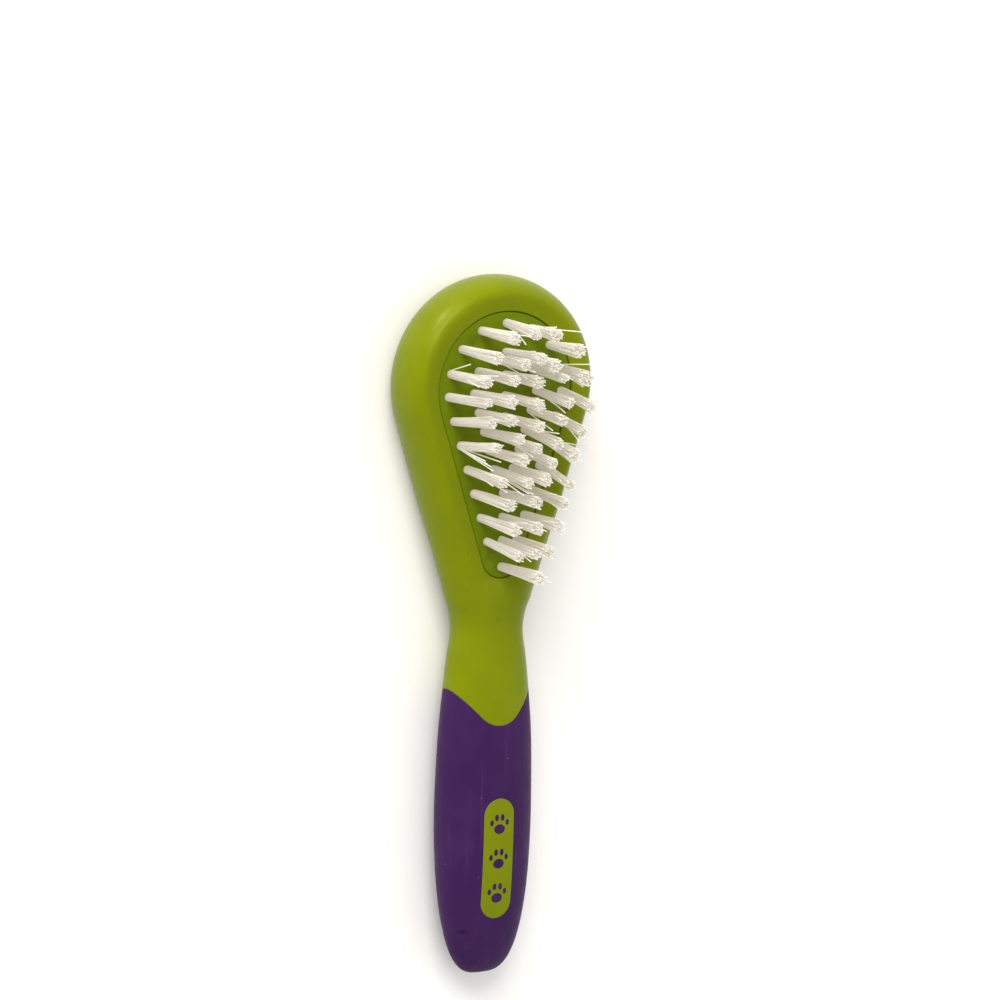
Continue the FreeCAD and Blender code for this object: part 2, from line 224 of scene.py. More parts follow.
def inside_distance(x, y):
    """How far a point of the plan lies inside the outline."""
    x = abs(x)
    down = HEAD_Y - y
    if down <= x * math.tan(TAPER):
        return HEAD_RADIUS - math.hypot(x, down)
    if y >= TAPER_END_Y:
        return HEAD_RADIUS - x * math.cos(TAPER) - down * math.sin(TAPER)
    return half_width(y) - x


def skin_height(x, y, side):
    """Height of the outer skin over (x, y): side is 1 for the front and -1 for the back."""
    top, bottom = top_height(y), bottom_height(y)
    share = smooth_step((HANDLE_BLEND_Y - y) / HANDLE_BLEND_Y)
    edge = HEAD_EDGE + (half_width(y) - HEAD_EDGE) * share
    power = 2 + (HANDLE_POWER - 2) * share
    depth = min(1.0, max(0.0, inside_distance(x, y)) / max(edge, 1e-6))
    rise = (top - bottom) / 2 * math.sqrt(max(0.0, 1 - (1 - depth) ** power))
    return (top + bottom) / 2 + side * rise


def smooth_min(a, b, width):
    """The lower of two heights, rounded where they cross."""
    share = max(width - abs(a - b), 0.0) / width
    return min(a, b) - share * share * width / 4


def smooth_max(a, b, width):
    return -smooth_min(-a, -b, width)


def back_height(x, y):
    """The back's skin, softly flattened where the brush rests."""
    return smooth_max(skin_height(x, y, -1), 0.0, REST_SOFTENING)


def pad_distance(x, y):
    """Signed distance from the pad opening's outline, positive outside it."""
    x = abs(x)
    c, s = math.cos(PAD_TAPER), math.sin(PAD_TAPER)
    along = x * s + (y - PAD_Y) * c
    if along >= 0:
        return math.hypot(x, y - PAD_Y) - PAD_RADIUS
    if along <= -PAD_SPAN * c:
        return math.hypot(x, y - PAD_TIP_Y) - PAD_TIP_RADIUS
    return x * c - (y - PAD_Y) * s - PAD_RADIUS


def front_height(x, y):
    """The front's skin with the sloping band round the pad let into it."""
    outer = skin_height(x, y, 1)
    if y < NECK_CUT_Y:
        return outer
    distance = pad_distance(x, y)
    dish = SEAM_TOP + (HEAD_TOP - SEAM_TOP) * distance / DISH_WIDTH
    height = smooth_min(outer, dish, CREST_BLEND)
    if distance < LIP:
        height -= LIP - math.sqrt(max(0.0, LIP**2 - (LIP - max(0.0, distance)) ** 2))
    return height + LIP_BEAD * math.exp(-(((distance - LIP_BEAD_AT) / LIP) ** 2))


# ---- mesh helpers --------------------------------------------------------------------------------
MERGE_DISTANCE = 1e-7     # metres
CREASE = math.radians(60)         # body, grip and badge
FINE_CREASE = math.radians(50)    # pad and strands


def mesh_object(name, verts_mm, faces, material, merge=True):
    """A mesh object from points in millimetres, with doubled points merged and normals outwards."""
    mesh = bpy.data.meshes.new(name)
    mesh.from_pydata([Vector(v) * MM for v in verts_mm], [], faces)
    bm = bmesh.new()
    bm.from_mesh(mesh)
    if merge:
        bmesh.ops.remove_doubles(bm, verts=bm.verts, dist=MERGE_DISTANCE)
        bmesh.ops.dissolve_degenerate(bm, dist=MERGE_DISTANCE, edges=bm.edges)
    bmesh.ops.recalc_face_normals(bm, faces=bm.faces)
    bm.to_mesh(mesh)
    bm.free()
    for polygon in mesh.polygons:
        polygon.use_smooth = True
    mesh.materials.append(material)
    piece = bpy.data.objects.new(name, mesh)
    bpy.context.scene.collection.objects.link(piece)
    return piece


def sharpen(piece, angle=CREASE):
    """Keeps edges sharp where the surface turns by more than angle."""
    piece.data.set_sharp_from_angle(angle=angle)


def bridge(faces, first, second, count):
    """Quads between two rings of points that start at these indices."""
    for i in range(count):
        j = (i + 1) % count
        faces.append((first + i, first + j, second + j, second + i))


def rings_to_mesh(rings, close_last=False):
    """Points and faces of a tube through rings of equally many points, with a cap on the last or none."""
    verts = [p for ring in rings for p in ring]
    count = len(rings[0])
    faces = []
    for i in range(len(rings) - 1):
        bridge(faces, i * count, (i + 1) * count, count)
    if close_last:
        start = (len(rings) - 1) * count
        faces.append(tuple(range(start, start + count)))
    return verts, faces


def append_mesh(verts, faces, more, quads):
    """Adds one set of points and faces to another."""
    start = len(verts)
    verts += more
    faces += [tuple(i + start for i in q) for q in quads]


def finish_piece(piece, slot, *nodes):
    """Hangs a piece under the brush's one body and hides the CAD nodes that it stands for. Its slot, the
    finish, is not used.
    """
    if nodes:
        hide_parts(*nodes)
    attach(piece, "root")
    return piece


# ---- body: head, neck and grip -------------------------------------------------------------------
RING_HALF = 44            # steps across the front, and across the back, of a handle ring
RING_ROUNDS = 12          # enough to settle a ring on the grip edge's bow
BAND_REACH = 4.6          # parallel rows round the pad opening go out to here
BAND_ROWS = 26
LIP_ROWS = 5
TURN_ROWS = 28            # rows round the head's edge, on the front and on the back
BACK_ROWS = 12            # rows over the back, under the band
SEAT_ROWS = 16            # and on to its middle line, under the pad
SEAT_DEPTHS = (1.6, 0.6, 0.3)     # rows down the pad's seat
FAN_HALF_ANGLE = math.radians(22.0)       # the columns that run straight into the neck
NECK_COLUMNS = 22         # columns of each side: by the neck, along the taper, round the big end
SIDE_COLUMNS = 64
ROUND_COLUMNS = 60
OUTLINE_REACH = 12.0      # the outline is nearer than this to the pad's opening
OUTLINE_ROUNDS = 40
GROOVE_DEPTH = 0.09       # hairline where the grip meets the body
GROOVE_WIDTH = 0.11
GROOVE_STEPS = [0.0, 0.05, 0.1, 0.15, 0.2, 0.28, 0.4, 0.6]    # its rings' distances from the edge
GROOVE_ZONE = 0.9         # the even rows stop this far from the groove
JOINT_INSET = 0.7         # each skin turns in this far at the joint
NECK_ROWS = 32
HANDLE_ROWS = 34
BUTT_ROWS = 62
BUTT_CLOSE = 0.99999      # share of the way to the butt's tip at which the last ring is capped


def ring_x(k, width):
    """Step k across a ring of this half width, with the steps closer together at the sides."""
    return -width * math.cos(math.pi * k / RING_HALF)


def outline_hit(start, normal):
    """Where a ray in the plan from start along normal leaves the body's outline."""
    low, high = 0.0, OUTLINE_REACH
    for _ in range(OUTLINE_ROUNDS):
        middle = (low + high) / 2
        x, y = start[0] + normal[0] * middle, start[1] + normal[1] * middle
        if y < TIP_Y and inside_distance(x, y) > 0:
            low = middle
        else:
            high = middle
    return start[0] + normal[0] * low, start[1] + normal[1] * low


def head_columns():
    """Columns round the pad opening, each from a point on its outline, outwards to an end point.

    Each is (point, normal, end, distance from the point back to the opening's middle line).
    """
    tip_angle = math.pi / 2 - PAD_TAPER

    def tip_point(angle):
        return PAD_TIP_RADIUS * math.sin(angle), PAD_TIP_Y - PAD_TIP_RADIUS * math.cos(angle)

    columns = []
    width = half_width(NECK_CUT_Y)
    for k in range(RING_HALF + 1):
        x = ring_x(k, width)
        angle = FAN_HALF_ANGLE * x / width
        normal = (math.sin(angle), -math.cos(angle))
        columns.append((tip_point(angle), normal, (x, NECK_CUT_Y), PAD_TIP_RADIUS))

    right = []
    steep = (math.sin(tip_angle), -math.cos(tip_angle))
    last_y = outline_hit(tip_point(tip_angle), steep)[1]
    for j in range(1, NECK_COLUMNS + 1):
        angle = FAN_HALF_ANGLE + (tip_angle - FAN_HALF_ANGLE) * j / NECK_COLUMNS
        y = NECK_CUT_Y + (last_y - NECK_CUT_Y) * j / NECK_COLUMNS
        normal = (math.sin(angle), -math.cos(angle))
        right.append((tip_point(angle), normal, (half_width(y), y), PAD_TIP_RADIUS))
    for j in range(1, SIDE_COLUMNS + 1):
        share = j / SIDE_COLUMNS
        radius = PAD_TIP_RADIUS + (PAD_RADIUS - PAD_TIP_RADIUS) * share
        centre_y = PAD_TIP_Y + PAD_SPAN * share
        start = (radius * steep[0], centre_y + radius * steep[1])
        right.append((start, steep, outline_hit(start, steep), radius))
    for j in range(1, ROUND_COLUMNS + 1):
        angle = tip_angle + (math.pi - tip_angle) * j / ROUND_COLUMNS
        normal = (math.sin(angle), -math.cos(angle))
        start = (PAD_RADIUS * normal[0], PAD_Y + PAD_RADIUS * normal[1])
        right.append((start, normal, outline_hit(start, normal), PAD_RADIUS))
    left = [
        ((-p[0], p[1]), (-n[0], n[1]), (-e[0], e[1]), r) for p, n, e, r in reversed(right[:-1])
    ]
    return columns + right + left


def along(point, normal, distance):
    return point[0] + normal[0] * distance, point[1] + normal[1] * distance


def between(a, b, share):
    return a[0] + (b[0] - a[0]) * share, a[1] + (b[1] - a[1]) * share


def head_rings(columns):
    """Rings of points: down in the pad's seat, up over the rim, round the edge and over the back."""
    rings = []
    lip = [LIP * (1 - math.cos(math.pi / 2 * i / LIP_ROWS)) for i in range(LIP_ROWS + 1)]
    band = lip + [LIP + (BAND_REACH - LIP) * i / BAND_ROWS for i in range(1, BAND_ROWS + 1)]
    turn = [math.sin(math.pi / 2 * i / TURN_ROWS) for i in range(1, TURN_ROWS + 1)]
    for depth in SEAT_DEPTHS:
        rings.append([(*p, front_height(*p) - depth) for p, _, _, _ in columns])
    for distance in band:
        spots = [along(p, n, distance) for p, n, _, _ in columns]
        rings.append([(*s, front_height(*s)) for s in spots])
    for share in turn:
        spots = [between(along(p, n, BAND_REACH), e, share) for p, n, e, _ in columns]
        rings.append([(*s, front_height(*s)) for s in spots])
    for share in reversed(turn):
        spots = [between(along(p, n, BAND_REACH), e, share) for p, n, e, _ in columns]
        rings.append([(*s, back_height(*s)) for s in spots])
    for i in range(BACK_ROWS):
        spots = [along(p, n, BAND_REACH * (1 - i / BACK_ROWS)) for p, n, _, _ in columns]
        rings.append([(*s, back_height(*s)) for s in spots])
    for i in range(SEAT_ROWS + 1):
        spots = [along(p, n, -r * i / SEAT_ROWS) for p, n, _, r in columns]
        rings.append([(*s, back_height(*s)) for s in spots])
    return rings


def grip_edge_rise(x):
    """The grip's edge above its lowest point: a round bottom between two straight sides."""
    turn_x = GRIP_EDGE_RADIUS * math.sin(GRIP_EDGE_ANGLE)
    if abs(x) < turn_x:
        return GRIP_EDGE_RADIUS - math.sqrt(GRIP_EDGE_RADIUS**2 - x * x)
    turn_rise = GRIP_EDGE_RADIUS * (1 - math.cos(GRIP_EDGE_ANGLE))
    return turn_rise + (abs(x) - turn_x) * math.tan(GRIP_EDGE_ANGLE)


def row_bow(v):
    """How much of the grip edge's bow a ring of the handle takes up."""
    if v >= GRIP_EDGE_Y:
        return smooth_step((NECK_CUT_Y - v) / (NECK_CUT_Y - GRIP_EDGE_Y))
    return smooth_step((v - BELLY_Y) / (GRIP_EDGE_Y - BELLY_Y))


def handle_ring(v, inset=0.0):
    """A closed ring of the handle, smaller by inset: left to right over the front, then back under it."""
    points = []
    for side, ks in ((1, range(RING_HALF + 1)), (-1, range(RING_HALF - 1, 0, -1))):
        for k in ks:
            y = v
            for _ in range(RING_ROUNDS):
                x = ring_x(k, half_width(y))
                y = v + row_bow(v) * grip_edge_rise(x)
            z = skin_height(x, y, 1) if side > 0 else back_height(x, y)
            middle = (top_height(y) + bottom_height(y)) / 2
            half_height = (top_height(y) - bottom_height(y)) / 2
            shrink = 1 - inset / max(half_width(y), inset * 1.01)
            lower = 1 - inset / max(half_height, inset * 1.01)
            points.append((x * shrink, y, middle + (z - middle) * lower))
    return points


def groove(distance):
    """Depth of the hairline at a distance from the grip's edge."""
    return GROOVE_DEPTH * math.exp(-((distance / GROOVE_WIDTH) ** 2))


def lies_in_neck_cut(face, verts):
    """True for a face in the flat cut across the neck, where the handle's rings carry on."""
    return all(abs(verts[i][1] - NECK_CUT_Y) < 1e-6 for i in face)


def body_shell(material):
    """Green head and neck in one skin, down to the grip's edge."""
    verts, faces = rings_to_mesh(head_rings(head_columns()))
    faces = [f for f in faces if not lies_in_neck_cut(f, verts)]
    reach = GRIP_EDGE_Y + GROOVE_ZONE - NECK_CUT_Y
    neck = [handle_ring(NECK_CUT_Y + reach * i / NECK_ROWS) for i in range(NECK_ROWS + 1)]
    neck += [handle_ring(GRIP_EDGE_Y + d, groove(d)) for d in reversed(GROOVE_STEPS)]
    neck.append(handle_ring(GRIP_EDGE_Y, JOINT_INSET))
    append_mesh(verts, faces, *rings_to_mesh(neck))
    piece = mesh_object("body_shell", verts, faces, material)
    sharpen(piece)
    return finish_piece(piece, "body", "handle_body")


def grip_skin(material):
    """Purple soft sleeve from its U-shaped edge to the butt."""
    rings = [handle_ring(GRIP_EDGE_Y, JOINT_INSET)]
    rings += [handle_ring(GRIP_EDGE_Y - d, groove(d)) for d in GROOVE_STEPS]
    first = GRIP_EDGE_Y - GROOVE_ZONE
    rings += [handle_ring(first + (BELLY_Y - first) * i / HANDLE_ROWS) for i in range(HANDLE_ROWS + 1)]
    reach = BELLY_Y - BUTT_Y
    for i in range(1, BUTT_ROWS + 1):
        rings.append(handle_ring(BELLY_Y - reach * math.sin(math.pi / 2 * i / BUTT_ROWS) * BUTT_CLOSE))
    verts, faces = rings_to_mesh(rings, close_last=True)
    piece = mesh_object("grip_skin", verts, faces, material)
    sharpen(piece)
    return finish_piece(piece, "grip", "grip_sleeve")


# ---- badge ---------------------------------------------------------------------------------------
BADGE_RISE = 0.05         # over the grip's skin
BADGE_ROUND = 0.14        # rounded edge
INLAY_RISE = 0.1          # over the grip's skin too
INLAY_ROUND = 0.1
PATCH_SINK = 0.25         # badge and inlay reach this far down into what carries them
# their rows, as shares of the way from the middle to the edge
PATCH_SHARES = [i / 10 for i in range(10)] + [0.93, 0.95, 0.965, 0.98, 0.99, 1.0]
BADGE_ARC_STEPS = 28      # round each end, and along each side
BADGE_LINE_STEPS = 20
OVAL_SIDES = 28
# a paw print's ovals, the ball and four toes: across and along from the print's middle, and the two radii
PAW_OVALS = [
    (0.0, -0.95, 1.25, 1.0),
    (-1.75, 0.35, 0.42, 0.62),
    (-0.65, 1.35, 0.45, 0.7),
    (0.65, 1.35, 0.45, 0.7),
    (1.75, 0.35, 0.42, 0.62),
]


def oval(x, y, radius_x, radius_y, count):
    """Points round an oval in the plan."""
    angles = [2 * math.pi * i / count for i in range(count)]
    return [(x + radius_x * math.cos(a), y + radius_y * math.sin(a)) for a in angles]


def surface_patch(middle, edge, rise, edge_round):
    """A low raised patch on the front skin, from middle points out to edge points, with a rounded rim."""
    rings = []
    for share in PATCH_SHARES:
        ring = []
        for a, b in zip(middle, edge):
            x, y = between(a, b, share)
            width = math.hypot(b[0] - a[0], b[1] - a[1])
            inside = min(edge_round, (1 - share) * width)
            drop = edge_round - math.sqrt(max(0.0, edge_round**2 - (edge_round - inside) ** 2))
            ring.append((x, y, skin_height(x, y, 1) + rise - drop))
        rings.append(ring)
    rings.append([(x, y, z - PATCH_SINK) for x, y, z in rings[-1]])
    return rings_to_mesh(rings)


def stadium(centre_y, length, width):
    """Points of the middle line and of the edge of a stadium along Y, step by step round it."""
    radius = width / 2
    half = length / 2 - radius
    middle, edge = [], []
    for end in (1, -1):
        spots = []
        for i in range(BADGE_ARC_STEPS):
            angle = math.pi * i / BADGE_ARC_STEPS - (0 if end > 0 else math.pi)
            spots.append((centre_y + end * half, math.cos(angle), math.sin(angle)))
        for i in range(BADGE_LINE_STEPS):
            spots.append((centre_y + end * half * (1 - 2 * i / BADGE_LINE_STEPS), -end, 0))
        middle += [(0, y) for y, _, _ in spots]
        edge += [(radius * across, y + radius * up) for y, across, up in spots]
    return middle, edge


def badge_face(material):
    """Green stadium that stands in the grip's window."""
    middle, edge = stadium(BADGE_Y, BADGE_LENGTH, BADGE_WIDTH)
    verts, faces = surface_patch(middle, edge, BADGE_RISE, BADGE_ROUND)
    piece = mesh_object("badge_face", verts, faces, material)
    sharpen(piece)
    return finish_piece(piece, "body")


def paw_inlay(material):
    """Three plain paw prints in a row: a ball and four toes each."""
    verts, faces = [], []
    for k in (-1, 0, 1):
        for x, forward, radius_x, radius_y in PAW_OVALS:
            y = BADGE_Y + k * PAW_PITCH + forward
            middle = [(x, y)] * OVAL_SIDES
            edge = oval(x, y, radius_x, radius_y, OVAL_SIDES)
            append_mesh(verts, faces, *surface_patch(middle, edge, INLAY_RISE, INLAY_ROUND))
    piece = mesh_object("paw_inlay", verts, faces, material)
    sharpen(piece)
    return finish_piece(piece, "inlay", "badge_inlay")


# ---- bristle pad ---------------------------------------------------------------------------------
PAD_EDGE = 0.2            # rounded edge
PAD_EDGE_ROWS = 5
PAD_SIDE = 1.5            # how far down its side is drawn
PAD_ROUND_STEPS = 96      # steps round the big end and the small end
PAD_TIP_STEPS = 40
HOLE_ROUND = 0.08         # rounded mouth of a tuft's hole
# rings down a hole and an ejector mark: added radius, depth
HOLE_PROFILE = [(HOLE_ROUND, 0.0), (0.03, 0.02), (0.0, HOLE_ROUND), (0.0, 0.5), (0.0, 1.6)]
EJECTOR_PROFILE = [(0.0, 0.0), (-0.03, 0.03), (-0.1, 0.045)]


def pad_outline(offset):
    """Points of the pad opening's outline moved outwards by offset."""
    tip_angle = math.pi / 2 - PAD_TAPER
    points = []
    for i in range(PAD_ROUND_STEPS + 1):
        angle = tip_angle + (2 * math.pi - 2 * tip_angle) * i / PAD_ROUND_STEPS
        radius = PAD_RADIUS + offset
        points.append((radius * math.sin(angle), PAD_Y - radius * math.cos(angle)))
    for i in range(PAD_TIP_STEPS + 1):
        angle = -tip_angle + 2 * tip_angle * i / PAD_TIP_STEPS
        radius = PAD_TIP_RADIUS + offset
        points.append((radius * math.sin(angle), PAD_TIP_Y - radius * math.cos(angle)))
    return points


def circle(x, y, radius, count):
    return oval(x, y, radius, radius, count)


def sunk_rings(x, y, radius, count, profile):
    """Rings of a hole or a mark that is let into the pad's top."""
    return [[(*p, PAD_TOP - drop) for p in circle(x, y, radius + add, count)] for add, drop in profile]


def flat_top(roots):
    """Points and triangles of the pad's flat top, open at every hole and mark."""
    rim = PAD_GAP + PAD_EDGE
    loops = [pad_outline(-rim)]
    loops += [circle(x, y, HOLE_RADIUS + HOLE_ROUND, HOLE_SIDES) for x, y in roots]
    loops += [circle(x, y, EJECTOR_RADIUS, EJECTOR_SIDES) for x, y in EJECTOR_MARKS]
    flat, edges = [], []
    for loop in loops:
        start = len(flat)
        flat += [Vector(p) for p in loop]
        edges += [(start + i, start + (i + 1) % len(loop)) for i in range(len(loop))]
    points, _, triangles, _, _, _ = delaunay_2d_cdt(flat, edges, [], 1, 1e-6)
    discs = [(x, y, HOLE_RADIUS + HOLE_ROUND) for x, y in roots]
    discs += [(x, y, EJECTOR_RADIUS) for x, y in EJECTOR_MARKS]
    faces = []
    for t in triangles:
        cx = sum(points[i].x for i in t) / 3
        cy = sum(points[i].y for i in t) / 3
        hidden = any(math.hypot(cx - x, cy - y) < r * 0.99 for x, y, r in discs)
        if pad_distance(cx, cy) < -rim + 1e-4 and not hidden:
            faces.append(tuple(t))
    return [(p.x, p.y, PAD_TOP) for p in points], faces


def pad_plate(roots, material):
    """Pad with a rounded edge, a hole for each tuft and faint round ejector marks."""
    verts, faces = flat_top(roots)
    edge_rows = []
    for i in range(PAD_EDGE_ROWS + 1):
        angle = math.pi / 2 * i / PAD_EDGE_ROWS
        offset = -PAD_GAP - PAD_EDGE + PAD_EDGE * math.sin(angle)
        height = PAD_TOP - PAD_EDGE + PAD_EDGE * math.cos(angle)
        edge_rows.append([(*p, height) for p in pad_outline(offset)])
    edge_rows.append([(x, y, PAD_TOP - PAD_SIDE) for x, y, _ in edge_rows[-1]])
    append_mesh(verts, faces, *rings_to_mesh(edge_rows))
    for x, y in roots:
        hole = sunk_rings(x, y, HOLE_RADIUS, HOLE_SIDES, HOLE_PROFILE)
        append_mesh(verts, faces, *rings_to_mesh(hole, close_last=True))
    for x, y in EJECTOR_MARKS:
        mark = sunk_rings(x, y, EJECTOR_RADIUS, EJECTOR_SIDES, EJECTOR_PROFILE)
        append_mesh(verts, faces, *rings_to_mesh(mark, close_last=True))
    piece = mesh_object("pad_plate", verts, faces, material)
    sharpen(piece, FINE_CREASE)
    return finish_piece(piece, "pad", "bristle_pad")


# ---- tufts ---------------------------------------------------------------------------------------
FILAMENTS = 78            # in each tuft
FILAMENT_RADIUS = 0.118
FILAMENT_SIDES = 5
FILAMENT_STEPS = 7
FILAMENT_END = 0.7        # length of a strand's rounded end, in its own radii
FILAMENT_END_RADIUS = 0.45        # and the radius there
TUFT_SEED = 41
ROOT_SHIFT = 0.07         # the tufts lean on one side of their holes
ROOT_SHAKE = 0.02         # and each strand stands this much off the even pattern
BURIED = Vector((0, 0, -0.6))     # strands start this far down in their hole
UNEVEN_LENGTH = 0.085     # share of the height by which strands differ
STRAY_SHORTENING = 1.0    # and the most that a stray one is shorter still
STRAY_FLARE = 1.4         # how much more than its neighbours a stray one leans out
BEND = 0.1                # random bend of a strand at its tip
STRAY_BEND = 0.7
FLARE_POWER = 1.15        # how late on its way up a strand flares and leans
LEAN_POWER = 1.1
USUAL_FRAY = 0.03         # share of strands that stray
LOOSE_SHORTENING = (0.2, 0.8)     # least and most that a loose strand is shorter
LEAN_ACROSS = (-0.1, -0.075)      # usual lean: at the middle, and more for each mm across
LEAN_DOWN = (0.35, 0.07, 0.018)   # at the head's middle, and more for each mm across and down
LEAN_ERROR = 0.3
USUAL_SPREAD = (1.15, 1.65)       # least and most tip width over root width


def packed_disc(count, radius, rng):
    """Points spread evenly over a disc, a little shaken."""
    golden = math.pi * (3 - math.sqrt(5))
    turn = rng.uniform(0, 2 * math.pi)
    points = []
    for i in range(count):
        r = radius * math.sqrt((i + 0.5) / count)
        angle = turn + golden * i
        x = r * math.cos(angle) + rng.gauss(0, ROOT_SHAKE)
        y = r * math.sin(angle) + rng.gauss(0, ROOT_SHAKE)
        points.append((x, y))
    return points


def filament(verts, faces, path):
    """A thin round strand along path, with a rounded tip."""
    start = len(verts)
    radii = [FILAMENT_RADIUS] * len(path) + [FILAMENT_RADIUS * FILAMENT_END_RADIUS]
    path = [*path, path[-1] + (path[-1] - path[-2]).normalized() * FILAMENT_RADIUS * FILAMENT_END]
    for i, p in enumerate(path):
        ahead = path[min(i + 1, len(path) - 1)] - path[max(i - 1, 0)]
        across = ahead.cross(Vector((0, 1, 0.1))).normalized()
        other = ahead.cross(across).normalized()
        for k in range(FILAMENT_SIDES):
            angle = 2 * math.pi * k / FILAMENT_SIDES
            verts.append(tuple(p + (across * math.cos(angle) + other * math.sin(angle)) * radii[i]))
    for i in range(len(path) - 1):
        bridge(faces, start + i * FILAMENT_SIDES, start + (i + 1) * FILAMENT_SIDES, FILAMENT_SIDES)
    last = start + (len(path) - 1) * FILAMENT_SIDES
    faces.append(tuple(range(last, last + FILAMENT_SIDES)))


def tuft_piece(node, lean, spread, material):
    """A tuft of nylon strands over its CAD plug: lean at the tip in mm, and tip width over root width."""
    low, high = box_mm(node)
    root = Vector(((low.x + high.x) / 2 + ROOT_SHIFT, (low.y + high.y) / 2, PAD_TOP))
    height = high.z - PAD_TOP
    rng = random.Random(f"{TUFT_SEED}{node}")
    shares = [i / FILAMENT_STEPS for i in range(FILAMENT_STEPS + 1)]
    leaning = Vector((*lean, 0))
    verts, faces = [], []
    for rx, ry in packed_disc(FILAMENTS, HOLE_RADIUS - FILAMENT_RADIUS, rng):
        stray = rng.random() < USUAL_FRAY
        place = Vector((rx, ry, 0))
        flare = spread * (STRAY_FLARE if stray else 1.0) * rng.uniform(0.9, 1.1) - 1
        length = height * (1 - UNEVEN_LENGTH * rng.random())
        length -= rng.uniform(0, STRAY_SHORTENING) if stray else 0
        bend = Vector((rng.gauss(0, 1), rng.gauss(0, 1), 0)) * (STRAY_BEND if stray else BEND)
        path = [root + BURIED + place]
        for t in shares:
            side = place * (1 + flare * t**FLARE_POWER) + leaning * t**LEAN_POWER + bend * t * t
            path.append(root + side + Vector((0, 0, length * t)))
        filament(verts, faces, path)
    for x, y, share in LOOSE_STRANDS.get(node, []):
        out = Vector((x, y, 0))
        place = out.normalized() * (HOLE_RADIUS - FILAMENT_RADIUS)
        length = height * share - rng.uniform(*LOOSE_SHORTENING)
        filament(verts, faces, [root + place + out * t + Vector((0, 0, length * t)) for t in shares])
    piece = mesh_object(node.replace("tuft", "bristles"), verts, faces, material, merge=False)
    sharpen(piece, FINE_CREASE)
    return finish_piece(piece, "bristle", node)


# ---- materials -----------------------------------------------------------------------------------
# colours, as 0 to 255 screen values: finishes, and painted shade on the pad and at the tufts' roots
BODY_GREEN = (109, 122, 0)
# the pad's green is the body's green made darker: painted shade for the shade among the tufts
PAD_GREEN_SHADED = (94, 113, 0)
GRIP_PURPLE = (50, 20, 70)
GRIP_PURPLE_PALE = (54, 24, 75)
# painted shade and painted green bounce light at the roots of the tufts
NYLON_ROOT_SHADED = (198, 192, 180)
NYLON_TIP = (205, 199, 191)
NYLON_PATCH = (199, 194, 185)
NYLON_SHADE_FADE = 9.0          # mm over the pad in which the painted shade of the roots fades into the tip's colour
MARK_PLACE = Vector((-6.2, -60.5, 10.0)) * MM     # dark smudge on the grip
MARK_SIZE = Vector((1.3, 0.6, 2.0)) * MM


def srgb(r, g, b):
    """Linear colour from 0 to 255 screen values."""
    out = []
    for c in (r, g, b):
        c /= 255
        out.append(c / 12.92 if c <= 0.04045 else ((c + 0.055) / 1.055) ** 2.4)
    return (*out, 1.0)


